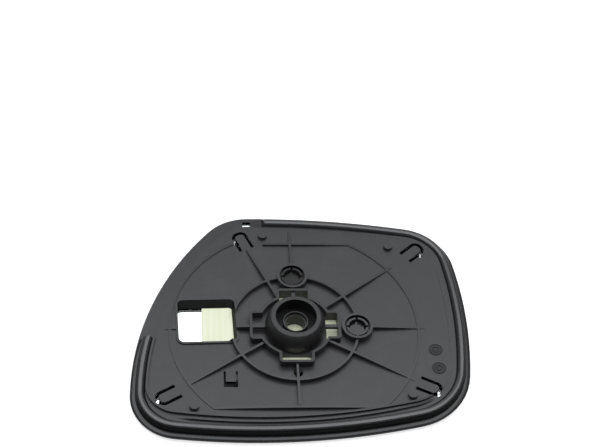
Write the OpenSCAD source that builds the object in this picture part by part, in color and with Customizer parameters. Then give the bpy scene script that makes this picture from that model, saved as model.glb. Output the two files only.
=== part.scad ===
// Door mirror glass of a car: a convex silvered glass bonded to a moulded
// plastic carrier. The carrier snaps over the pivot dome of the mirror housing,
// and two drive sockets tilt it up and down and side to side.
// Millimetres. The part lies glass down, as it rests on a table.
// Origin: centre of the pivot bore, on the face of the carrier that is bonded
// to the glass. +Z points out of the back, +X is the long direction, +Y is the
// upper edge when the mirror is fitted.

/* [Glass] */
// Radius of curvature of the convex glass, measured at the bonded face
crown_r = 2000; // [1200:50:4000]
// Thickness of the glass
glass_t = 1.9; // [1.5:0.1:2.0]
// Thickness of the adhesive film
film_t = 0.4; // [0.2:0.1:0.5]
// Bond line on each side of the film
bond_gap = 0.1; // [0.05:0.05:0.15]
// Clearance between the edge of the glass and the lip
glass_gap = 0.3; // [0.1:0.1:0.8]
// Left and right edges of the adhesive film
film_x = [-52, 60]; // [-80:1:90]
// Lower and upper edges of the adhesive film
film_y = [-26.8, 46]; // [-60:0.1:70]
// Corner radius of the adhesive film
film_corner_r = 8; // [2:1:20]

/* [Outline] */
// Distance from the pivot to the right side
right_d = 98.9; // [92:0.1:106]
// Distance from the pivot to the upper side
top_d = 82.2; // [79:0.1:90]
// Distance from the pivot to the slanted side at the left
slant_d = 80.8; // [77:0.1:86]
// Distance from the pivot to the lower side
bottom_d = 71.9; // [68:0.1:80]
// Radius of the right side
right_r = 259; // [180:1:400]
// Radius of the upper side
top_r = 508; // [350:1:800]
// Radius of the slanted side
slant_r = 173; // [150:1:220]
// Radius of the lower side
bottom_r = 397; // [280:1:700]
// Radius of the upper right corner
corner_ne_r = 32.2; // [24:0.1:40]
// Radius of the upper left corner
corner_nw_r = 30.8; // [24:0.1:40]
// Radius of the lower left corner
corner_sw_r = 27.2; // [20:0.1:36]
// Radius of the lower right corner
corner_se_r = 38.5; // [28:0.1:46]

/* [Rim] */
// Radius of the rounded lip that surrounds the glass
lip_r = 3.2; // [2.9:0.1:3.4]
// Height of the lowest point of the lip, which the part rests on
lip_bottom = -2.7; // [-3.4:0.1:-2.7]
// Radius of the rolled bead on the back of the rim
roll_r = 2.6; // [2.2:0.05:3.0]
// Distance of the middle of the rolled bead from the outer edge
roll_inset = 5.4; // [5.0:0.1:6.2]
// Height of the centre of the rolled bead
roll_z = 3.9; // [3.5:0.1:4.8]
// Where the rolled bead ends on the upper side
roll_end_x = -16; // [-22:1:20]
// Where the rolled bead ends on the left side
roll_end_y = -7; // [-30:1:0]
// Height of the flat flange along the slanted side
flange_z = 2.9; // [2.6:0.1:3.6]
// Distance of the inner step of the flange from the outer edge
flange_w = 8.4; // [7.4:0.1:8.8]
// Distance of the small ridge inside the bead from the outer edge
ridge_inset = 10.4; // [10.2:0.1:11.5]
// Extra distance of the ridge from the right, upper, left and lower sides
ridge_shift = [1, 0, -1.5, 3.3]; // [-2:0.1:4]
// Width of the ridge
ridge_w = 1.2; // [0.8:0.1:1.6]
// Height of the ridge above the plate
ridge_h = 1.4; // [0.4:0.1:2]

/* [Plate and ribs] */
// Thickness of the plate
plate_t = 2.2; // [1.6:0.1:2.8]
// Radius of the inner ring rib
ring_r = 35.7; // [34:0.1:38]
// Radius of the outer ring rib
outer_ring_r = 70; // [66:0.5:72]
// Distance of the upper flat of the outer ring rib
flat_top = 61; // [56:0.5:62]
// Distance of the lower flat of the outer ring rib
flat_bottom = 53; // [50:0.5:57]
// Length of the gap in the upper flat beside the upper left clip
ring_gap = 17; // [14:0.5:20]
// Width of the ribs
rib_w = 1.4; // [1:0.1:2]
// Height of the rib tops over the pivot axis
rib_top = 6.1; // [5.2:0.1:7]
// Radius of the shallow dome that the rib tops follow
rib_top_r = 1110; // [950:10:1500]

/* [Pivot] */
// Outer radius of the pivot dome
dome_r = 16.9; // [16:0.1:17.8]
// Height of the centre of the pivot dome
dome_z = 5.5; // [4.5:0.1:6.5]
// Wall of the pivot dome
dome_wall = 2.0; // [1.6:0.1:2.6]
// Height of the mouth of the pivot dome
mouth_z = 15; // [13.5:0.1:16]
// Diameter of the through bore in the middle
centre_bore_d = 10.8; // [8:0.1:11.4]
// Outer diameter of the tube around the through bore
centre_tube_d = 14; // [13:0.1:16]
// Height of the tube around the through bore
centre_tube_z = 10; // [7:0.1:12]
// Diameter of the wider mouth of the through bore
counterbore_d = 13; // [12:0.1:13.4]
// Depth of the wider mouth of the through bore
counterbore_h = 2; // [0.5:0.1:3]
// Bevel of the outer edge of the dome's mouth
mouth_bevel = 0.7; // [0.2:0.1:1.2]
// Outer radius of the collar around the dome
collar_r = 21.4; // [20.6:0.1:22]
// Wall of the collar
collar_wall = 1.5; // [1.1:0.1:1.9]
// Height of the top of the collar
collar_z = 7.1; // [6.2:0.1:8.5]
// Width of the ears of the collar, between their walls
ear_w = 16.4; // [14:0.1:18]
// Distance of the inner face of the ears from the pivot axis
ear_reach = 24; // [23:0.1:24.6]
// Width of the spring bars across the ears
bar_w = 2; // [1.4:0.1:2.6]
// Height of the top of the spring bars
bar_z = 5.9; // [5:0.1:6.8]
// Thickness of the spring bars
bar_t = 2; // [1.2:0.1:2.6]
// Radius of the inner corners of the ears
ear_corner_r = 0.8; // [0.3:0.1:2]

/* [Drive sockets] */
// Distance of the drive sockets from the pivot axis
socket_at = 35.3; // [34.5:0.1:37]
// Outer diameter of the drive sockets
socket_d = 17.5; // [16.4:0.1:18.5]
// Diameter of the mouth of the drive sockets
socket_bore_d = 14.6; // [13.6:0.1:15.2]
// Height of the top of the drive sockets
socket_z = 6.8; // [6.2:0.1:9]
// Height of the floor of the drive sockets
socket_floor_z = 3.4; // [3:0.1:4]
// Outer diameter of the four spring petals in each socket
petal_d = 12.4; // [11.6:0.1:13]
// Radius of the ball that the petals grip
petal_ball_r = 4.9; // [4.4:0.1:5.3]
// Width of the slits between the petals
petal_slit = 1.2; // [0.8:0.1:1.8]

/* [Window, clips and latch] */
// Left and right edges of the window in the plate
window_x = [-65.3, -33]; // [-70:0.1:-30]
// Lower and upper edges of the window
window_y = [-9, 20]; // [-14:0.5:24]
// Turn of the window in the plate, in degrees
window_turn = 2.5; // [-5:0.5:5]
// Corner radius of the window
window_corner_r = 3; // [1:0.5:5]
// Length of the corner clips
clip_l = 12.5; // [10:0.1:13]
// Distance between the two slots beside a corner clip
clip_w = 7.6; // [6.6:0.1:8]
// Width of the slots around the corner clips
clip_slot = 1.9; // [1:0.1:2]
// Corner radius of the end of a clip
clip_end_r = 2.2; // [1:0.1:2.2]
// Diameter of the spot hole beside a clip
spot_d = 3; // [2:0.1:4]
// Diameter of the round studs beside the clips
stud_d = 5.2; // [3:0.1:6]
// Height of the round studs above the plate
stud_h = 2; // [0.6:0.1:2.4]
// Width of the latch pocket
latch_w = 7.8; // [6:0.1:9]
// Length of the latch pocket
latch_l = 14; // [12:0.5:16]
// Thickness of the floor under the latch pocket
latch_floor_t = 0.6; // [0.4:0.1:1]
// Diameter of the drain hole
drain_d = 5.3; // [3:0.1:6]
// Diameter of the two mould clocks
clock_d = 8; // [6:0.1:10]
// Depth of the rings of the mould clocks
clock_h = 0.3; // [0.1:0.05:0.5]

/* [Hidden] */
$fn = 96;
// Every side arc and corner arc of the outline, counter-clockwise.
// A side is its outward direction, its distance from the pivot and its radius.
sides = [
  [-2.7, right_d, right_r],
  [87.5, top_d, top_r],
  [152.6, slant_d, slant_r],
  [273.4, bottom_d, bottom_r]
];
corners = [corner_ne_r, corner_nw_r, corner_sw_r, corner_se_r];
ridge_sides = [for (i = [0:3]) sides[i] - [0, ridge_shift[i], 0]];
mouth_outer_r = sqrt(pow(dome_r, 2) - pow(mouth_z - dome_z, 2));
drain_at = [0.5, 6.2 - ring_r];
ear_in = 17.6;
// How far the rim reaches under the plate
rim_lap = 0.65;
// Centres of the two drive sockets
socket_places = [[socket_at - 0.2, -0.5], [0, socket_at + 0.1]];
glass_back_z = -film_t - 2 * bond_gap;
far = 140;
eps = 0.01;
// Corner clips: corner, place of the root, direction, place of the spot hole
clips = [
  [0, [3.4, 7.8], 39.8, [12.2, 9.0]],
  [3, [8.1, -11.7], -28.3, [17.8, -19.8]],
  [2, [-1.1, 0.9], 211.6, [-12.3, -6.4]],
  [1, [-0.5, 5.9], 115.0, [-6.6, 9.6]]
];
// Studs: corner and place
studs = [[1, [8.7, 15.5]], [0, [-6.1, 15.6]], [3, [3.9, -20.2]], [2, [7.4, -9.6]]];
// Small hole through the flange: corner and place
flange_hole = [1, [-2.7, 22.8]];
flange_hole_size = [4.6, 4.2];
// Lower middle of the latch pocket
latch_at = [-36.6, -39];
// Mould clocks: places from the right side
clocks = [[20.9, -15.5], [20.4, -28.0]];
// Middle of the collar's wall, of the ends of its ears and of their sides
collar_mid = collar_r - collar_wall / 2;
ear_end_mid = ear_reach + collar_wall / 2;
ear_side_mid = (ear_w + collar_wall) / 2;
// Radial ribs: direction, start and end. They start in the wall of the collar
spokes = [
  [0, 40, 82],
  [90, 40, 71],
  [180, ear_end_mid, 73],
  [270, ear_end_mid, 52],
  [36.9, collar_mid, 76],
  [-28.9, collar_mid, 75],
  [212.3, collar_mid, 71],
  [113.9, max(collar_mid, ear_side_mid / sin(23.9)), 62]
];

function unit(a) = [cos(a), sin(a)];
function turn(v) = [-v[1], v[0]];
function angle_of(v) = atan2(v[1], v[0]);
function wrap(a) = a - 360 * floor((a + 180) / 360);

// Centre of a side arc
function side_centre(s) = unit(s[0]) * (s[1] - s[2]);

// Centre of the corner arc that blends two side arcs
function corner_centre(a, b, r) =
  let (ca = side_centre(a), cb = side_centre(b))
  let (v = cb - ca, l = norm(v), u = v / l)
  let (t = (pow(a[2] - r, 2) - pow(b[2] - r, 2) + l * l) / (2 * l))
  let (h = sqrt(pow(a[2] - r, 2) - t * t))
  let (p = ca + u * t + turn(u) * h, q = ca + u * t - turn(u) * h)
  let (m = unit(a[0] + wrap(b[0] - a[0]) / 2))
  p * m > q * m ? p : q;

// One arc: centre, radius, start angle, sweep
function arc(c, r, from, to) =
  let (a = angle_of(from - c))
  [c, r, a, wrap(angle_of(to - c) - a)];

// The eight arcs of an outline
function outline(s, k) =
  let (m = [for (i = [0:3]) corner_centre(s[i], s[(i + 1) % 4], k[i])])
  let (c = [for (i = [0:3]) side_centre(s[i])])
  let (p = [for (i = [0:3]) m[i] + (m[i] - c[i]) / norm(m[i] - c[i]) * k[i]])
  let (q = [for (i = [0:3]) let (j = (i + 1) % 4) m[i] + (m[i] - c[j]) / norm(m[i] - c[j]) * k[i]])
  [for (i = [0:3]) each [
    arc(c[i], s[i][2], q[(i + 3) % 4], p[i]),
    arc(m[i], k[i], p[i], q[i])
  ]];

edge = outline(sides, corners);
corner_at = [for (i = [0:3]) corner_centre(sides[i], sides[(i + 1) % 4], corners[i])];
ridge_edge = outline(ridge_sides, corners);

// Stations along an outline: arc centre, outward direction, arc radius
function stations(arcs) = [
  for (a = arcs)
    let (n = ceil(a[3] / (a[1] > 100 ? 460 / a[1] : 7)))
    for (i = [0:n - 1])
      [a[0], a[2] + a[3] * i / n, a[1]]
];

function station_point(s, inset) = s[0] + unit(s[1]) * (s[2] - inset);

// Flat shape inside an outline, moved inwards by an inset
module region(arcs, inset) {
  polygon([for (s = stations(arcs)) station_point(s, inset)]);
}

// A section drawn as [inset, height] and lofted all round through stations
module loft(path, section) {
  n = len(path);
  m = len(section);
  points = [
    for (s = path)
      for (p = section)
        let (q = station_point(s, p[0]))
        [q[0], q[1], p[1]]
  ];
  skin = [
    for (i = [0:n - 1])
      for (j = [0:m - 1])
        let (k = (i + 1) % n, l = (j + 1) % m)
        [i * m + j, k * m + j, k * m + l, i * m + l]
  ];
  polyhedron(points, skin, convexity = 6);
}

// Everything above the dished surface that is lowest at height z
module above(z) {
  rotate_extrude($fn = 180)
    intersection() {
      translate([0, crown_r])
        circle(crown_r - z, $fn = 5760);
      translate([0, -8])
        square([far, 40]);
    }
}

// Everything under the shallow dome of the rib tops
module under_ribs() {
  rotate_extrude($fn = 180)
    intersection() {
      translate([0, rib_top - rib_top_r])
        circle(rib_top_r, $fn = 2880);
      translate([0, -8])
        square([far, 40]);
    }
}

// Dished layer between two heights at the pivot axis
module layer(low, high) {
  difference() {
    above(low);
    above(high);
  }
}

module prism(arcs, inset) {
  translate([0, 0, -8])
    linear_extrude(30)
      region(arcs, inset);
}

module rounded_box(x, y, r) {
  translate([x[0] + r, y[0]])
    square([x[1] - x[0] - 2 * r, y[1] - y[0]]);
  translate([x[0], y[0] + r])
    square([x[1] - x[0], y[1] - y[0] - 2 * r]);
  for (px = [x[0] + r, x[1] - r], py = [y[0] + r, y[1] - r])
    translate([px, py])
      circle(r, $fn = 48);
}

// The part of the rim that carries the rolled bead
module bead_side() {
  difference() {
    translate([-far, -far, -8])
      cube([2 * far, 2 * far, 30]);
    translate([-far, roll_end_y, -9])
      cube([far + roll_end_x, 2 * far, 32]);
  }
}

// Section of the rim: the lip round the glass, the crease and the rolled bead
lip_at = [lip_r, lip_bottom + lip_r];
roll_at = [roll_inset, roll_z];
crease =
  let (v = roll_at - lip_at, l = norm(v), u = v / l)
  let (t = (l * l + lip_r * lip_r - roll_r * roll_r) / (2 * l))
  lip_at + u * t + turn(u) * sqrt(lip_r * lip_r - t * t);
crease_roll = angle_of(crease - roll_at);
crease_lip = angle_of(crease - lip_at);
rim_section = [
  [flange_w + rim_lap, 0],
  [flange_w + rim_lap, flange_z],
  for (i = [0:11])
    roll_at + unit((crease_roll + 360) % 360 * i / 11) * roll_r,
  for (i = [1:10])
    lip_at + unit(crease_lip + (277 - crease_lip) * i / 10) * lip_r,
  [lip_r + 1, lip_bottom + 0.1],
  [lip_r + 1, 0]
];

// Room for the glass: inside the lip and below the plate
module glass_room() {
  difference() {
    prism(edge, lip_r + 0.4);
    above(0);
  }
}

module rim() {
  // Along the slanted side the bead is left out and the flange stays
  difference() {
    loft(stations(edge), rim_section);
    rotate([90, 0, 0])
      translate([0, 0, -roll_end_y - 2 * far])
        linear_extrude(2 * far)
          polygon([
            [-far, flange_z],
            [roll_end_x, flange_z],
            [roll_end_x + 10, flange_z + 20],
            [-far, flange_z + 20]
          ]);
  }
  // Small ridge inside the bead
  intersection() {
    difference() {
      prism(ridge_edge, ridge_inset - ridge_w / 2);
      prism(ridge_edge, ridge_inset + ridge_w / 2);
    }
    layer(plate_t - 1, plate_t + ridge_h);
    bead_side();
    translate([-far, -far, -8])
      cube([2 * far, far + 40, 30]);
  }
}

module spoke(angle, from, to) {
  rotate(angle)
    translate([from, -rib_w / 2, 0])
      cube([to - from, rib_w, 10]);
}

module ribs() {
  intersection() {
    union() {
      for (s = spokes)
        spoke(s[0], s[1], s[2]);
      difference() {
        cylinder(h = 10, r = ring_r + rib_w / 2);
        translate([0, 0, -1])
          cylinder(h = 12, r = ring_r - rib_w / 2);
      }
      outer_ring();
    }
    prism(edge, roll_inset + 0.6);
    above(plate_t - 1);
    under_ribs();
  }
}

// Outer ring rib, cut by two flats
module outer_ring() {
  difference() {
    outer_disc(0);
    outer_disc(rib_w);
    translate([roll_end_x - ring_gap, flat_top - 3, -1])
      cube([ring_gap, 10, 14]);
  }
}

module outer_disc(inset) {
  intersection() {
    translate([0, 0, -inset])
      cylinder(h = 10 + 2 * inset, r = outer_ring_r + rib_w / 2 - inset, $fn = 240);
    translate([-far, inset - flat_bottom - rib_w / 2, -2])
      cube([2 * far, flat_top + flat_bottom + rib_w - 2 * inset, 14]);
  }
}

// Plan of the window, grown by a margin
module window_plan(grow) {
  w = (window_x[1] - window_x[0]) / 2;
  h = (window_y[1] - window_y[0]) / 2;
  translate([window_x[0] + w, window_y[0] + h])
    rotate(window_turn)
      rounded_box([-w - grow, w + grow], [-h - grow, h + grow], window_corner_r + grow);
}

// Low frame round the window
module window_frame() {
  intersection() {
    translate([0, 0, -1])
      linear_extrude(12)
        window_plan(1.2);
    layer(plate_t - 1, plate_t + 0.9);
  }
}

// Shallow rings of a mould clock in the surface of the plate
module clock_rings() {
  difference() {
    cylinder(h = 12, d = clock_d, $fn = 64);
    translate([0, 0, -1])
      cylinder(h = 14, d = clock_d - 1.3, $fn = 64);
  }
  difference() {
    cylinder(h = 12, d = clock_d / 2, $fn = 48);
    translate([0, 0, -1])
      cylinder(h = 14, d = clock_d / 2 - 1.1, $fn = 48);
  }
}

// Plan of the collar: a disc with four ears
module collar_plan(inset) {
  circle(collar_r - inset);
  reach = ear_reach + collar_wall - inset;
  half = ear_w / 2 + collar_wall - inset;
  r = ear_corner_r + collar_wall - inset;
  rounded_box([-reach, reach], [-half, half], r);
  rounded_box([-half, half], [-reach, reach], r);
}

module collar() {
  difference() {
    translate([0, 0, 1])
      linear_extrude(collar_z - 1)
        collar_plan(0);
    linear_extrude(collar_z + 1)
      collar_plan(collar_wall);
  }
}

// Openings through the plate in the right, upper and lower ears
module ear_openings() {
  for (a = [0, 90, 270])
    rotate(a)
      translate([0, 0, -3])
        linear_extrude(collar_z + 4)
          rounded_box([ear_in, ear_reach], [-ear_w / 2, ear_w / 2], ear_corner_r);
}

// Spring bars from the dome to the ears
module bars() {
  for (a = [0, 90, 180])
    rotate(a)
      translate([dome_r - 1.5, -bar_w / 2, bar_z - bar_t])
        cube([ear_reach - dome_r + 2, bar_w, bar_t]);
}

module pivot() {
  difference() {
    intersection() {
      translate([0, 0, dome_z])
        sphere(dome_r);
      translate([-20, -20, 0.8])
        cube([40, 40, mouth_z - 0.8]);
    }
    difference() {
      translate([0, 0, dome_z])
        sphere(dome_r - dome_wall);
      translate([-20, -20, -20])
        cube([40, 40, 20 + plate_t]);
    }
    rotate_extrude()
      polygon([
        [mouth_outer_r - mouth_bevel, mouth_z],
        [mouth_outer_r + 3, mouth_z - 0.59 * (3 + mouth_bevel)],
        [mouth_outer_r + 3, mouth_z + 1],
        [mouth_outer_r - mouth_bevel, mouth_z + 1]
      ]);
  }
  difference() {
    translate([0, 0, 0.8])
      cylinder(h = centre_tube_z - 0.8, d = centre_tube_d);
    translate([0, 0, centre_tube_z - counterbore_h])
      cylinder(h = counterbore_h + 1, d = counterbore_d);
  }
}

// One drive socket with its four petals
module socket_body() {
  translate([0, 0, 1.2])
    cylinder(h = socket_z - 1.2, d = socket_d);
}

module socket_room() {
  difference() {
    translate([0, 0, socket_floor_z])
      cylinder(h = 10, d = socket_bore_d);
    difference() {
      translate([0, 0, 1])
        cylinder(h = socket_z - 1.8, d = petal_d);
      translate([0, 0, socket_z - 0.8])
        sphere(petal_ball_r, $fn = 64);
      for (a = [0, 90])
        rotate(a)
          translate([-10, -petal_slit / 2, socket_floor_z])
            cube([20, petal_slit, 10]);
    }
  }
}

// U-shaped slot that frees one corner clip
module clip_cut(at, angle) {
  w = clip_w + clip_slot;
  translate(at)
    rotate(angle)
      difference() {
        clip_plan(clip_l + clip_slot / 2, w, clip_end_r + clip_slot);
        translate([-eps, 0])
          clip_plan(clip_l - clip_slot / 2 + eps, w - 2 * clip_slot, clip_end_r);
      }
}

module clip_plan(l, w, r) {
  translate([0, -w / 2])
    square([l - r, w]);
  translate([l - r - eps, r - w / 2])
    square([r + eps, w - 2 * r]);
  for (s = [-1, 1])
    translate([l - r, s * (w / 2 - r)])
      circle(r, $fn = 48);
}

// Plan of the latch pocket, with its tongue left standing
module latch_cut() {
  tongue = latch_w - 2.4;
  translate(latch_at)
    difference() {
      translate([-latch_w / 2, 0])
        square([latch_w, latch_l - 3.6]);
      translate([-tongue / 2, 3.6])
        square([tongue, latch_l]);
    }
}

module plate_cuts() {
  translate([0, 0, -4])
    linear_extrude(12) {
      for (c = clips)
        clip_cut(corner_at[c[0]] + c[1], c[2]);
      // Hole at the foot of the latch
      translate(latch_at + [1.3, 0.7])
        square([2, 1.5]);
    }
  intersection() {
    linear_extrude(8)
      latch_cut();
    above(latch_floor_t);
  }
  for (c = clips)
    at_corner(c[0], c[3], -4)
      cylinder(h = 12, d = spot_d, $fn = 32);
  at_corner(flange_hole[0], flange_hole[1], -4)
    cube([flange_hole_size[0], flange_hole_size[1], 12]);
  // The rib bridges the drain hole
  difference() {
    translate([drain_at[0], drain_at[1], -4])
      cylinder(h = 12, d = drain_d, $fn = 48);
    translate([0.05 - rib_w / 2, drain_at[1] - drain_d, plate_t - 0.2])
      cube([rib_w - 0.1, 2 * drain_d, 10]);
  }
  intersection() {
    for (c = clocks)
      translate([right_d - c[0], c[1], 0])
        clock_rings();
    layer(plate_t - clock_h, plate_t + 2);
  }
}

// Moves its children to a place measured from the centre of a corner arc
module at_corner(corner, place, z) {
  p = corner_at[corner] + place;
  translate([p[0], p[1], z])
    children();
}

module carrier() {
  color([0.16, 0.16, 0.17])
    difference() {
      union() {
        intersection() {
          prism(edge, flange_w);
          layer(0, plate_t);
        }
        rim();
        ribs();
        window_frame();
        collar();
        pivot();
        bars();
        for (p = socket_places)
          translate([p[0], p[1], 0])
            socket_body();
        for (s = studs)
          intersection() {
            at_corner(s[0], s[1], 0)
              cylinder(h = 10, d = stud_d, $fn = 48);
            layer(plate_t - 1, plate_t + stud_h);
          }
      }
      glass_room();
      plate_cuts();
      translate([0, 0, -4])
        linear_extrude(14)
          window_plan(0);
      difference() {
        ear_openings();
        bars();
      }
      for (p = socket_places)
        translate([p[0], p[1], 0])
          socket_room();
      translate([0, 0, -4])
        cylinder(h = 30, d = centre_bore_d);
    }
}

module adhesive_film() {
  color([0.88, 0.9, 0.78])
    intersection() {
      translate([0, 0, -6])
        linear_extrude(12)
          rounded_box(film_x, film_y, film_corner_r);
      layer(-bond_gap - film_t, -bond_gap);
    }
}

module mirror_glass() {
  color([0.8, 0.83, 0.84])
    intersection() {
      prism(edge, lip_r + 0.4 + glass_gap);
      layer(glass_back_z - glass_t, glass_back_z);
    }
}

carrier();
adhesive_film();
mirror_glass();
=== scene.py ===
import bpy
import math
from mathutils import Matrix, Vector


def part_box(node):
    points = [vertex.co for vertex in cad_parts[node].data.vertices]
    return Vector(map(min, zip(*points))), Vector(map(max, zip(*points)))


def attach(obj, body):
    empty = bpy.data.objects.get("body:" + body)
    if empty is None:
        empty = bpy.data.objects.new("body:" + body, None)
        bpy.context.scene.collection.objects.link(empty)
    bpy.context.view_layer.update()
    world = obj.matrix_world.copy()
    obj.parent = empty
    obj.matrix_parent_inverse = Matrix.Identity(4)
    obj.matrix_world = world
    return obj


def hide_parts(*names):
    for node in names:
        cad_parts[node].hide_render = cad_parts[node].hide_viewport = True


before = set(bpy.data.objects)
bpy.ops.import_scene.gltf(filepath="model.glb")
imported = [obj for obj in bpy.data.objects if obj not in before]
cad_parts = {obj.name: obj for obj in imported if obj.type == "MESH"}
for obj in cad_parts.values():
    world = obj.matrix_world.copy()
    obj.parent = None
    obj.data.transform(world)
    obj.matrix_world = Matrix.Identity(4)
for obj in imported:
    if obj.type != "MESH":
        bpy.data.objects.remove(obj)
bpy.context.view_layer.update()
MM = 0.001
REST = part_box("carrier")[0].z


# ---------------------------------------------------------------- hand tools

# How close corners are welded and how short an edge is dropped, in millimetres,
# and how flat neighbouring faces are joined, in degrees
WELD_WITHIN = 0.002
DROP_BELOW = 0.01
FLAT_WITHIN = 0.15

PICK_VERTICES = (True, False, False)
PICK_EDGES = (False, True, False)
PICK_FACES = (False, False, True)


def put_down():
    """Nothing is selected and nothing is in edit mode."""
    if bpy.context.object and bpy.context.object.mode != "OBJECT":
        bpy.ops.object.mode_set(mode="OBJECT")
    bpy.ops.object.select_all(action="DESELECT")


def take(piece):
    """Only this piece is selected."""
    put_down()
    piece.select_set(True)
    bpy.context.view_layer.objects.active = piece


def merged_copy(node, name):
    """A copy of a solid with its loose triangles joined into one skin of flat faces."""
    piece = bpy.data.objects.new(name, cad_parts[node].data.copy())
    bpy.context.scene.collection.objects.link(piece)
    piece.data.materials.clear()
    take(piece)
    bpy.ops.object.mode_set(mode="EDIT")
    bpy.ops.mesh.select_all(action="SELECT")
    bpy.ops.mesh.remove_doubles(threshold=WELD_WITHIN * MM)
    bpy.ops.mesh.dissolve_degenerate(threshold=DROP_BELOW * MM)
    bpy.ops.mesh.dissolve_limited(angle_limit=math.radians(FLAT_WITHIN), delimit=set())
    bpy.ops.object.mode_set(mode="OBJECT")
    bpy.ops.mesh.customdata_custom_splitnormals_clear()
    return piece


def soften_edges(piece, width, angle):
    """Rounds every sharp edge by the small radius that a mould leaves."""
    take(piece)
    rounding = piece.modifiers.new("soft edges", "BEVEL")
    rounding.width = width
    rounding.segments = 2
    rounding.limit_method = "ANGLE"
    rounding.angle_limit = math.radians(angle)
    bpy.ops.object.modifier_apply(modifier=rounding.name)


def settle(piece, angle):
    """Shades curved faces smooth, while flat faces and sharp edges stay crisp."""
    take(piece)
    bpy.ops.object.shade_smooth_by_angle(angle=math.radians(angle))
    weights = piece.modifiers.new("flat faces stay flat", "WEIGHTED_NORMAL")
    weights.keep_sharp = True
    bpy.ops.object.modifier_apply(modifier=weights.name)


def stands_for(piece, node):
    """The piece is shown in place of a solid of the frame."""
    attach(piece, "root")
    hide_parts(node)


# ---------------------------------------------------------------- shader nodes

# A Mix node has sockets of several kinds under one name, so its colours go by number
FIRST_COLOUR, SECOND_COLOUR, MIXED_COLOUR = 6, 7, 2


def feed(links, socket, value):
    """Puts a number, a colour or another node's result into a socket."""
    if isinstance(value, bpy.types.NodeSocket):
        links.new(value, socket)
    else:
        socket.default_value = value


def math_node(nodes, links, operation, *values):
    node = nodes.new("ShaderNodeMath")
    node.operation = operation
    for i, value in enumerate(values):
        feed(links, node.inputs[i], value)
    return node.outputs[0]


def ramp(nodes, links, value, low, high):
    """Rises smoothly from 0 to 1 while the value goes from low to high."""
    node = nodes.new("ShaderNodeMapRange")
    node.interpolation_type = "SMOOTHSTEP"
    node.inputs["From Min"].default_value = low
    node.inputs["From Max"].default_value = high
    links.new(value, node.inputs["Value"])
    return node.outputs["Result"]


def noise(nodes, links, place, scale, detail, roughness=0.5):
    node = nodes.new("ShaderNodeTexNoise")
    links.new(place, node.inputs["Vector"])
    feed(links, node.inputs["Scale"], scale)
    node.inputs["Detail"].default_value = detail
    node.inputs["Roughness"].default_value = roughness
    return node.outputs["Fac"]


def mix_colours(nodes, links, factor, first, second):
    node = nodes.new("ShaderNodeMix")
    node.data_type = "RGBA"
    links.new(factor, node.inputs["Factor"])
    node.inputs[FIRST_COLOUR].default_value = (*first, 1)
    node.inputs[SECOND_COLOUR].default_value = (*second, 1)
    return node.outputs[MIXED_COLOUR]


def bump(nodes, links, shader, height, depth):
    """Bumps of this depth, in millimetres."""
    node = nodes.new("ShaderNodeBump")
    node.inputs["Strength"].default_value = 1.0
    node.inputs["Distance"].default_value = depth * MM
    links.new(height, node.inputs["Height"])
    links.new(node.outputs["Normal"], shader.inputs["Normal"])


# ---------------------------------------------------------------- effects that finishes share

def new_group(name, inputs, outputs):
    """An empty effect: each input has a name, a kind and a value, each output a name and a kind."""
    tree = bpy.data.node_groups.new(name, "ShaderNodeTree")
    for label, kind, value in inputs:
        socket = tree.interface.new_socket(name=label, in_out="INPUT", socket_type=kind)
        if value is not None:
            socket.default_value = value
    for label, kind in outputs:
        tree.interface.new_socket(name=label, in_out="OUTPUT", socket_type=kind)
    into = tree.nodes.new("NodeGroupInput")
    out = tree.nodes.new("NodeGroupOutput")
    return tree, tree.nodes, tree.links, into, out


def mould_grain():
    """Spark-eroded mould grain: fine bumps and a faint mottling."""
    tree, nodes, links, into, out = new_group(
        "mould grain",
        [("Vector", "NodeSocketVector", None), ("Grains per metre", "NodeSocketFloat", 2600.0)],
        [("Height", "NodeSocketFloat"), ("Mottle", "NodeSocketFloat")],
    )
    place = into.outputs["Vector"]
    density = into.outputs["Grains per metre"]
    grains = noise(nodes, links, place, scale=density, detail=2.0, roughness=0.6)
    mottling = noise(nodes, links, place, scale=26.0, detail=3.0)
    links.new(grains, out.inputs["Height"])
    links.new(mottling, out.inputs["Mottle"])
    return tree


def handling_dust():
    """Dust in soft patches and small specks, left by handling."""
    tree, nodes, links, into, out = new_group(
        "handling dust",
        [("Vector", "NodeSocketVector", None), ("Amount", "NodeSocketFloat", 0.3)],
        [("Mask", "NodeSocketFloat")],
    )
    place = into.outputs["Vector"]
    cloud = noise(nodes, links, place, scale=55.0, detail=6.0, roughness=0.65)
    spots = noise(nodes, links, place, scale=900.0, detail=1.0)
    patches = ramp(nodes, links, cloud, low=0.48, high=0.74)
    specks = ramp(nodes, links, spots, low=0.66, high=0.74)
    soft = math_node(nodes, links, "MULTIPLY", patches, 0.7)
    sharp = math_node(nodes, links, "MULTIPLY", specks, 0.5)
    both = math_node(nodes, links, "ADD", soft, sharp)
    mask = math_node(nodes, links, "MULTIPLY", both, into.outputs["Amount"])
    links.new(mask, out.inputs["Mask"])
    return tree


grain = mould_grain()
dust = handling_dust()


# ---------------------------------------------------------------- finishes

# How much the mottling varies the roughness of plastic, and how much dust adds to it
MOTTLE_SPREAD = 0.10
DUST_SPREAD = 0.12


def new_material(name):
    material = bpy.data.materials.new(name)
    material.use_nodes = True
    tree = material.node_tree
    place = tree.nodes.new("ShaderNodeTexCoord").outputs["Object"]
    return material, tree.nodes, tree.links, tree.nodes["Principled BSDF"], place


def use_group(nodes, links, tree, place, **values):
    node = nodes.new("ShaderNodeGroup")
    node.node_tree = tree
    links.new(place, node.inputs["Vector"])
    for label, value in values.items():
        node.inputs[label].default_value = value
    return node


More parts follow.
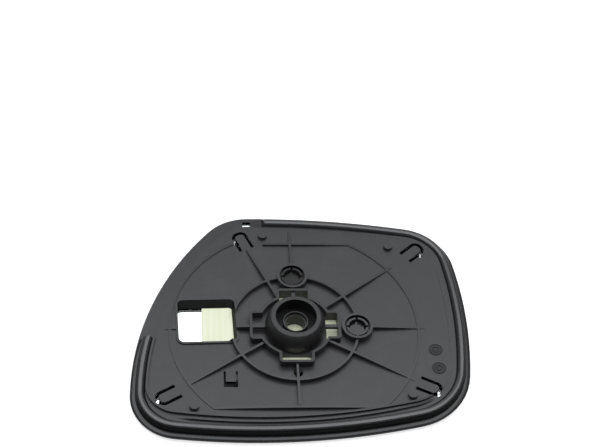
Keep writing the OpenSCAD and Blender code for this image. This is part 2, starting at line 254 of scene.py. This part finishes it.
def moulded_plastic(name, colour, dusty, rough, grain_depth, dust_amount, shine=0.5):
    """Black plastic straight from the mould, with a grain of this depth in millimetres."""
    material, nodes, links, shader, place = new_material(name)
    texture = use_group(nodes, links, grain, place)
    mask = use_group(nodes, links, dust, place, Amount=dust_amount).outputs["Mask"]
    links.new(mix_colours(nodes, links, mask, colour, dusty), shader.inputs["Base Color"])
    mottled = math_node(
        nodes, links, "MULTIPLY_ADD",
        texture.outputs["Mottle"], MOTTLE_SPREAD, rough - MOTTLE_SPREAD / 2,
    )
    dulled = math_node(nodes, links, "MULTIPLY_ADD", mask, DUST_SPREAD, mottled)
    links.new(dulled, shader.inputs["Roughness"])
    shader.inputs["Specular IOR Level"].default_value = shine
    bump(nodes, links, shader, texture.outputs["Height"], grain_depth)
    return material


def pale_film():
    """Pale adhesive film with fine streaks along its height."""
    material, nodes, links, shader, place = new_material("pale adhesive film")
    stretch = nodes.new("ShaderNodeMapping")
    stretch.inputs["Scale"].default_value = (1.0, 0.05, 1.0)
    links.new(place, stretch.inputs["Vector"])
    streaks = noise(nodes, links, stretch.outputs["Vector"], scale=420.0, detail=3.0)
    lines = ramp(nodes, links, streaks, low=0.35, high=0.70)
    colour = mix_colours(nodes, links, lines, (0.82, 0.86, 0.66), (0.77, 0.80, 0.58))
    links.new(colour, shader.inputs["Base Color"])
    shader.inputs["Roughness"].default_value = 0.42
    bump(nodes, links, shader, streaks, 0.03)
    return material


def clear_glass():
    """Clear glass with the faint green of a float pane."""
    material, nodes, links, shader, place = new_material("clear glass")
    shader.inputs["Base Color"].default_value = (0.93, 0.98, 0.95, 1)
    shader.inputs["Roughness"].default_value = 0.0
    shader.inputs["IOR"].default_value = 1.52
    shader.inputs["Transmission Weight"].default_value = 1.0
    return material


def silvering():
    """The reflecting layer of the mirror, with a little haze."""
    material, nodes, links, shader, place = new_material("silvering")
    shader.inputs["Metallic"].default_value = 1.0
    haze = use_group(nodes, links, dust, place, Amount=0.2).outputs["Mask"]
    colour = mix_colours(nodes, links, haze, (0.88, 0.90, 0.89), (0.80, 0.82, 0.81))
    links.new(colour, shader.inputs["Base Color"])
    dulled = math_node(nodes, links, "MULTIPLY_ADD", haze, 0.10, 0.015)
    links.new(dulled, shader.inputs["Roughness"])
    return material


plate_finish = moulded_plastic(
    "grained black plastic",
    colour=(0.027, 0.027, 0.030), dusty=(0.070, 0.071, 0.074),
    rough=0.37, grain_depth=0.02, dust_amount=0.30,
)
rim_finish = moulded_plastic(
    "satin black plastic",
    colour=(0.022, 0.022, 0.024), dusty=(0.060, 0.060, 0.062),
    rough=0.22, grain_depth=0.004, dust_amount=0.18,
)
socket_finish = moulded_plastic(
    "glossy black plastic",
    colour=(0.010, 0.010, 0.011), dusty=(0.024, 0.024, 0.024),
    rough=0.14, grain_depth=0.004, dust_amount=0.12,
)
dome_finish = moulded_plastic(
    "smooth black plastic",
    colour=(0.020, 0.020, 0.021), dusty=(0.050, 0.050, 0.052),
    rough=0.46, grain_depth=0.012, dust_amount=0.18,
)
clock_finish = moulded_plastic(
    "eroded black plastic",
    colour=(0.014, 0.014, 0.015), dusty=(0.030, 0.030, 0.031),
    rough=0.62, grain_depth=0.06, dust_amount=0.20,
)
bead_finish = moulded_plastic(
    "polished black plastic",
    colour=(0.022, 0.022, 0.024), dusty=(0.050, 0.050, 0.052),
    rough=0.20, grain_depth=0.004, dust_amount=0.15, shine=0.9,
)
# Darker plastic that barely reflects: painted shade on the window's walls so that they show dark
painted_wall_shade_finish = moulded_plastic(
    "black plastic with painted wall shade",
    colour=(0.010, 0.010, 0.010), dusty=(0.020, 0.020, 0.020),
    rough=0.45, grain_depth=0.006, dust_amount=0.10, shine=0.12,
)
# Near-black plastic that barely reflects: painted shade, put on the latch pocket's floor, the walls
# of the slots by the clips and the outer wall of the bead so that they show dark
painted_shade_finish = moulded_plastic(
    "black plastic with painted shade",
    colour=(0.006, 0.006, 0.006), dusty=(0.010, 0.010, 0.010),
    rough=0.55, grain_depth=0.006, dust_amount=0.10, shine=0.12,
)
film_finish = pale_film()
clear = clear_glass()
silver = silvering()

# The finishes of the moulding, in the order of its material slots
MOULDING_FINISHES = (
    plate_finish, rim_finish, socket_finish, dome_finish,
    painted_shade_finish, clock_finish, painted_wall_shade_finish, bead_finish,
)
PLATE, RIM, SOCKET, DOME, PAINTED_SHADE, CLOCK, PAINTED_WALL_SHADE, BEAD = range(len(MOULDING_FINISHES))
CLEAR, SILVER = 0, 1


# ---------------------------------------------------------------- the moulding's measures
# Lengths are in millimetres, as in the CAD. A tilt is the upward part of a face's
# normal: 1 on top, 0 on an upright wall.

# The outline: direction in degrees, distance and radius of each side, and the
# radius of the corner that follows it
SIDES = (
    (-2.7, 98.9, 259.0),
    (87.5, 82.2, 508.0),
    (152.6, 80.8, 173.0),
    (273.4, 71.9, 397.0),
)
CORNERS = (32.2, 30.8, 27.2, 38.5)

# The dished top of the plate: its height in the middle and its radius
PLATE_TOP = 2.2
CROWN = 1998.0

# Where the rolled bead ends at the top and at the left, how the lip beside it
# eases into its low part, and the lip's foot, top and width
ROLL_END_X = -16.0
ROLL_END_Y = -7.0
ROLL_EASE = (0.5, 9.0)
LIP_FOOT = 0.5
LIP_TOP = 3.75
LIP_WIDTH = 2.9
LIP_SHARE = 0.36

# The ridge inside the bead, by its inset and by its rise above the plate
RIDGE_INSET = (9.6, 14.6)
RIDGE_RISE = (0.1, 1.8)
RIGHT_SIDE_X = 50
RIGHT_EASE_X = (52, 66)
RIGHT_EASE_Y = (-54, -40)
FLATTENING = 0.85

# The second fold: the stretch of ridge that it copies, how far out it lies,
# and how it sinks at its ends
FOLD_INSET = (10.2, 14.8)
FOLD_TOP_Y = -36
FOLD_LEFT_X = -72
FOLD_SHIFT = 1.6
FOLD_SPREAD = 1.5
FOLD_SPREAD_EASE = (38, 62)
FOLD_SINK = 0.05
FOLD_END_SINK = 1.8
FOLD_LEFT_EASE = (56, 70)
FOLD_RIGHT_EASE = (-52, -38)
PLATE_MARGIN = 0.1

# The window, and how its upper and right walls lean: the stretch before each
# wall that is drawn in, and the share of that stretch that is left
WINDOW_MIDDLE = (-49.15, 5.5)
WINDOW_HALF = (16.15, 14.5)
WINDOW_TURN = math.radians(2.5)
WINDOW_MARGIN = 0.4
WALL_DEPTH = 1.2
UPPER_LEAN = (8.0, 0.52)
RIGHT_LEAN = (5.0, 0.66)
# Below this rise above the plate the window's walls get painted shade
FRAME_RISE = 0.8

# The two drive sockets, the pivot dome, the latch and the two moulding clocks
SOCKETS = ((35.1, -0.5), (0.0, 35.4))
SOCKET_REACH = 7.45
SOCKET_TOP = 6.75
DOME_REACH = 17.2
# Below LATCH_TOP the latch pocket's floor and low walls get painted shade
LATCH = (-36.6, -39.0)
LATCH_HALF = (3.6, 7.2)
LATCH_TOP = 2.3
CLOCKS = ((78.0, -15.5), (78.5, -28.0))
CLOCK_REACH = 4.1
ON_PLATE = 2.0

# The slots beside the corner clips, whose walls get painted shade
SLOTS_FROM_MIDDLE = 45
SLOTS_INSET = 9
SLOT_DEPTH = 0.2
STEEP = 0.5

# The outer wall of the bead, which gets painted shade, the crest of the bead, and the rim as a
# whole
BEAD_WALL_INSET = (2.3, 4.2)
BEAD_WALL_TILT = (-0.15, 0.62)
BEAD_WALL_HEIGHT = (1.0, 5.9)
CREST_INSET = (2.6, 7.6)
CREST_HEIGHT = 4.9
RIM_WIDTH = 8.2


# ---------------------------------------------------------------- places on the moulding

def between(value, limits):
    return limits[0] < value < limits[1]


def smooth_step(value, low, high):
    """Rises smoothly from 0 at low to 1 at high."""
    x = min(1.0, max(0.0, (value - low) / (high - low)))
    return x * x * (3 - 2 * x)


def next_side(i):
    return SIDES[(i + 1) % len(SIDES)]


def side_centre(side):
    """The centre of a side's arc."""
    angle, distance, radius = side
    towards = Vector((math.cos(math.radians(angle)), math.sin(math.radians(angle))))
    return towards * (distance - radius)


def corner_centre(first, second, radius):
    """The centre of the arc that blends two sides."""
    a, b = side_centre(first), side_centre(second)
    ra, rb = first[2] - radius, second[2] - radius
    across = b - a
    length = across.length
    u = across / length
    along = (ra * ra - rb * rb + length * length) / (2 * length)
    up = math.sqrt(ra * ra - along * along)
    turn = (second[0] - first[0] + 180) % 360 - 180
    middle = math.radians(first[0] + turn / 2)
    out = Vector((math.cos(middle), math.sin(middle)))
    side = Vector((-u.y, u.x))
    return max(a + u * along + side * up, a + u * along - side * up, key=lambda p: p.dot(out))


BENDS = [corner_centre(side, next_side(i), CORNERS[i]) for i, side in enumerate(SIDES)]


def cross(a, b):
    return a.x * b.y - a.y * b.x


def corner_of(p):
    """The number of the corner that a place lies in, or None beside a side."""
    for i, bend in enumerate(BENDS):
        w = p - bend
        start = bend - side_centre(SIDES[i])
        end = bend - side_centre(next_side(i))
        if cross(start, w) > 0 and cross(w, end) > 0:
            return i
    return None


def inset_of(point):
    """How far a place lies inside the outline, in millimetres."""
    p = Vector((point.x, point.y)) / MM
    corner = corner_of(p)
    if corner is not None:
        return CORNERS[corner] - (p - BENDS[corner]).length
    return min(side[2] - (p - side_centre(side)).length for side in SIDES)


def outward_from(point):
    """The direction out of the part at a place."""
    p = Vector((point.x, point.y)) / MM
    corner = corner_of(p)
    if corner is not None:
        return (p - BENDS[corner]).normalized()
    side = min(SIDES, key=lambda s: s[2] - (p - side_centre(s)).length)
    return (p - side_centre(side)).normalized()


def plate_height(point):
    """Height of the dished top of the plate, in millimetres."""
    return PLATE_TOP + (point.x * point.x + point.y * point.y) / (MM * MM) / (2 * CROWN)


def in_window(point):
    """A place seen from the middle of the turned window, in millimetres."""
    x, y = point.x / MM - WINDOW_MIDDLE[0], point.y / MM - WINDOW_MIDDLE[1]
    u = x * math.cos(WINDOW_TURN) + y * math.sin(WINDOW_TURN)
    v = y * math.cos(WINDOW_TURN) - x * math.sin(WINDOW_TURN)
    return u, v


def near(point, spots, reach):
    """Whether a place lies within reach of one of the spots."""
    return min(math.hypot(point.x / MM - x, point.y / MM - y) for x, y in spots) < reach


# ---------------------------------------------------------------- shaping the moulding

def lower_lip(piece):
    """Below the rolled bead the lip is a low flat ledge, and the bead has a steep outer wall."""
    for vertex in piece.data.vertices:
        p = vertex.co
        z = p.z / MM
        if not LIP_FOOT < z < LIP_TOP or inset_of(p) > LIP_WIDTH:
            continue
        along_top = smooth_step(p.x / MM - ROLL_END_X, *ROLL_EASE)
        along_left = smooth_step(ROLL_END_Y - p.y / MM, *ROLL_EASE)
        lowered = LIP_FOOT + (z - LIP_FOOT) * LIP_SHARE
        p.z = (z + max(along_top, along_left) * (lowered - z)) * MM


def flatten_right_ridge(piece):
    """Along the right side the ridge inside the bead is only a faint fold."""
    for vertex in piece.data.vertices:
        p = vertex.co
        if p.x < RIGHT_SIDE_X * MM or not between(inset_of(p), RIDGE_INSET):
            continue
        base = plate_height(p)
        rise = p.z / MM - base
        if between(rise, RIDGE_RISE):
            eased = smooth_step(p.x / MM, *RIGHT_EASE_X) * smooth_step(p.y / MM, *RIGHT_EASE_Y)
            p.z = (base + rise * (1 - FLATTENING * eased)) * MM


def drawn_in(value, edge, lean):
    """Moves a place inwards if it lies in the stretch before an edge."""
    stretch, share = lean
    start = edge - stretch
    if value > start:
        return start + (value - start) * share
    return value


def slope_window(piece):
    """The upper and right walls of the window lean inwards as they go down to the film."""
    for vertex in piece.data.vertices:
        p = vertex.co
        if p.z / MM > plate_height(p) - WALL_DEPTH:
            continue
        u, v = in_window(p)
        if abs(u) > WINDOW_HALF[0] + WINDOW_MARGIN or abs(v) > WINDOW_HALF[1] + WINDOW_MARGIN:
            continue
        u = drawn_in(u, WINDOW_HALF[0], RIGHT_LEAN)
        v = drawn_in(v, WINDOW_HALF[1], UPPER_LEAN)
        p.x = (WINDOW_MIDDLE[0] + u * math.cos(WINDOW_TURN) - v * math.sin(WINDOW_TURN)) * MM
        p.y = (WINDOW_MIDDLE[1] + u * math.sin(WINDOW_TURN) + v * math.cos(WINDOW_TURN)) * MM


def is_lower_ridge(face, mesh):
    """Whether all of a face lies on the ridge along the lower side."""
    places = [mesh.vertices[i].co for i in face.vertices]
    return all(
        p.y < FOLD_TOP_Y * MM
        and p.x > FOLD_LEFT_X * MM
        and between(inset_of(p), FOLD_INSET)
        and p.z / MM > plate_height(p) - PLATE_MARGIN
        for p in places
    )


def second_fold(piece):
    """Along the lower side a second, lower fold runs between the ridge and the bead."""
    take(piece)
    bpy.ops.object.duplicate()
    fold = bpy.context.object
    fold.name = "lower_fold"
    bpy.context.tool_settings.mesh_select_mode = PICK_FACES
    for face in fold.data.polygons:
        face.select = not is_lower_ridge(face, fold.data)
    bpy.ops.object.mode_set(mode="EDIT")
    bpy.ops.mesh.delete(type="FACE")
    bpy.context.tool_settings.mesh_select_mode = PICK_EDGES
    bpy.ops.mesh.select_all(action="DESELECT")
    bpy.ops.mesh.select_non_manifold()
    bpy.ops.mesh.edge_face_add()
    bpy.ops.mesh.select_all(action="SELECT")
    bpy.ops.mesh.normals_make_consistent(inside=False)
    bpy.ops.object.mode_set(mode="OBJECT")
    bpy.context.tool_settings.mesh_select_mode = PICK_VERTICES
    for vertex in fold.data.vertices:
        p = vertex.co
        left_end = smooth_step(-p.x / MM, *FOLD_LEFT_EASE)
        right_end = smooth_step(p.y / MM, *FOLD_RIGHT_EASE)
        spread = FOLD_SPREAD * smooth_step(-p.y / MM, *FOLD_SPREAD_EASE)
        shift = outward_from(p) * (FOLD_SHIFT + spread) * MM
        p.x += shift.x
        p.y += shift.y
        p.z -= (FOLD_SINK + FOLD_END_SINK * max(left_end, right_end)) * MM
    return fold


def finish_of(face):
    """Which finish a face of the moulding has, by its place, with painted shade in some places."""
    c = face.center
    tilt = face.normal.z
    height = c.z / MM
    from_middle = math.hypot(c.x, c.y) / MM
    inset = inset_of(c)
    u, v = in_window(c)
    if near(c, SOCKETS, SOCKET_REACH) and height < SOCKET_TOP:
        return SOCKET
    if from_middle < DOME_REACH and height > ON_PLATE:
        return DOME
    # The latch pocket's floor and low walls get painted shade
    at_latch = (
        abs(c.x / MM - LATCH[0]) < LATCH_HALF[0]
        and abs(c.y / MM - LATCH[1]) < LATCH_HALF[1]
    )
    if at_latch and height < LATCH_TOP:
        return PAINTED_SHADE
    if near(c, CLOCKS, CLOCK_REACH) and height > ON_PLATE:
        return CLOCK
    # The window's walls get painted shade
    in_opening = abs(u) < WINDOW_HALF[0] and abs(v) < WINDOW_HALF[1]
    if in_opening and height < plate_height(c) + FRAME_RISE:
        return PAINTED_WALL_SHADE
    # The walls of the slots by the clips get painted shade
    by_clips = from_middle > SLOTS_FROM_MIDDLE and inset > SLOTS_INSET
    if by_clips and abs(tilt) < STEEP and height < plate_height(c) - SLOT_DEPTH:
        return PAINTED_SHADE
    # The outer wall of the bead gets painted shade, darker than the rest of the rim
    on_bead_wall = between(inset, BEAD_WALL_INSET) and between(height, BEAD_WALL_HEIGHT)
    if on_bead_wall and between(tilt, BEAD_WALL_TILT):
        return PAINTED_SHADE
    if between(inset, CREST_INSET) and height > CREST_HEIGHT:
        return BEAD
    if inset < RIM_WIDTH:
        return RIM
    return PLATE


# ---------------------------------------------------------------- the pieces

# The radius of the moulding's edges in millimetres, and the angles in degrees below
# which a surface is smooth and above which an edge is rounded
SOFT_EDGE = 0.2
SMOOTH_BELOW = 32
SHARP_ABOVE = 40
SHEET_SMOOTH_BELOW = 30

carrier = merged_copy("carrier", "back_moulding")
lower_lip(carrier)
flatten_right_ridge(carrier)
slope_window(carrier)

fold = second_fold(carrier)
settle(fold, SMOOTH_BELOW)
fold.data.materials.append(plate_finish)
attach(fold, "root")

soften_edges(carrier, SOFT_EDGE * MM, SHARP_ABOVE)
settle(carrier, SMOOTH_BELOW)
for finish in MOULDING_FINISHES:
    carrier.data.materials.append(finish)
for face in carrier.data.polygons:
    face.material_index = finish_of(face)
stands_for(carrier, "carrier")

film = merged_copy("adhesive_film", "bonding_film")
settle(film, SHEET_SMOOTH_BELOW)
film.data.materials.append(film_finish)
stands_for(film, "adhesive_film")

glass = merged_copy("mirror_glass", "glass_pane")
settle(glass, SHEET_SMOOTH_BELOW)
glass.data.materials.append(clear)
glass.data.materials.append(silver)
for face in glass.data.polygons:
    face.material_index = SILVER if face.normal.z < -STEEP else CLEAR
stands_for(glass, "mirror_glass")


# ---------------------------------------------------------------- floor and room

FLOOR_SIZE = 8
# What the floor adds to the light it sends to the camera, and how bright the room
# is for everything but the camera
FLOOR_GLOW = 0.72
ROOM_LIGHT = 0.15


def paper_floor():
    """Pale paper that the camera sees as near white, with the part's shadow kept."""
    material, nodes, links, shader, place = new_material("pale paper floor")
    shader.inputs["Base Color"].default_value = (0.70, 0.70, 0.70, 1)
    shader.inputs["Roughness"].default_value = 0.9
    shader.inputs["Specular IOR Level"].default_value = 0.1
    rays = nodes.new("ShaderNodeLightPath").outputs
    seen = math_node(nodes, links, "MAXIMUM", rays["Is Camera Ray"], rays["Is Transmission Ray"])
    shader.inputs["Emission Color"].default_value = (1, 1, 1, 1)
    glow = math_node(nodes, links, "MULTIPLY", seen, FLOOR_GLOW)
    links.new(glow, shader.inputs["Emission Strength"])
    return material


put_down()
bpy.ops.mesh.primitive_plane_add(size=FLOOR_SIZE, location=(0, 0, REST))
floor = bpy.context.object
floor.name = "pale_floor"
floor.data.materials.append(paper_floor())

world = bpy.data.worlds.new("soft room")
bpy.context.scene.world = world
world.use_nodes = True
nodes, links = world.node_tree.nodes, world.node_tree.links
room = nodes["Background"]
room.inputs["Color"].default_value = (1, 1, 1, 1)
to_camera = nodes.new("ShaderNodeLightPath").outputs["Is Camera Ray"]
level = math_node(nodes, links, "MULTIPLY_ADD", to_camera, 1 - ROOM_LIGHT, ROOM_LIGHT)
links.new(level, room.inputs["Strength"])


# ---------------------------------------------------------------- lamps

def soft_lamp(name, at, towards, size, radiance, colour=(1, 1, 1)):
    """A white panel that looks this bright: 1 is the white of the picture."""
    lamp = bpy.data.lights.new(name, "AREA")
    lamp.shape = "RECTANGLE"
    lamp.size, lamp.size_y = size
    lamp.energy = math.pi * size[0] * size[1] * radiance
    lamp.color = colour
    holder = bpy.data.objects.new(name, lamp)
    bpy.context.scene.collection.objects.link(holder)
    holder.location = at
    aim = Vector(towards) - Vector(at)
    holder.rotation_euler = aim.to_track_quat("-Z", "Y").to_euler()
    holder.visible_camera = False


# The roof and the bright panel aim a hair off straight down, which fixes their turn
soft_lamp(
    "white roof", at=(0.0, 0.40, 0.96), towards=(0.0, 0.4001, 0.0),
    size=(1.9, 1.5), radiance=0.55,
)
soft_lamp(
    "bright panel", at=(0.0, 0.060, 0.36), towards=(0.0, 0.0601, 0.0),
    size=(0.64, 0.45), radiance=1.6, colour=(0.95, 0.975, 1.0),
)
soft_lamp(
    "white back wall", at=(0.0, 1.16, 0.46), towards=(0.0, 0.0, 0.42),
    size=(1.9, 0.88), radiance=0.50,
)


# ---------------------------------------------------------------- camera

camera_data = bpy.data.cameras.new("camera")
camera_data.sensor_fit = "HORIZONTAL"
camera_data.sensor_width = 36
camera_data.lens = 85.442
camera_data.clip_start = 0.02
camera_data.clip_end = 30
camera = bpy.data.objects.new("camera", camera_data)
bpy.context.scene.collection.objects.link(camera)
camera.location = (-0.06684, -0.47545, 0.64447)
camera.rotation_euler = [math.radians(a) for a in (40.8846, -3.9309, -3.0826)]
bpy.context.scene.camera = camera

bpy.context.scene.view_settings.view_transform = "Standard"
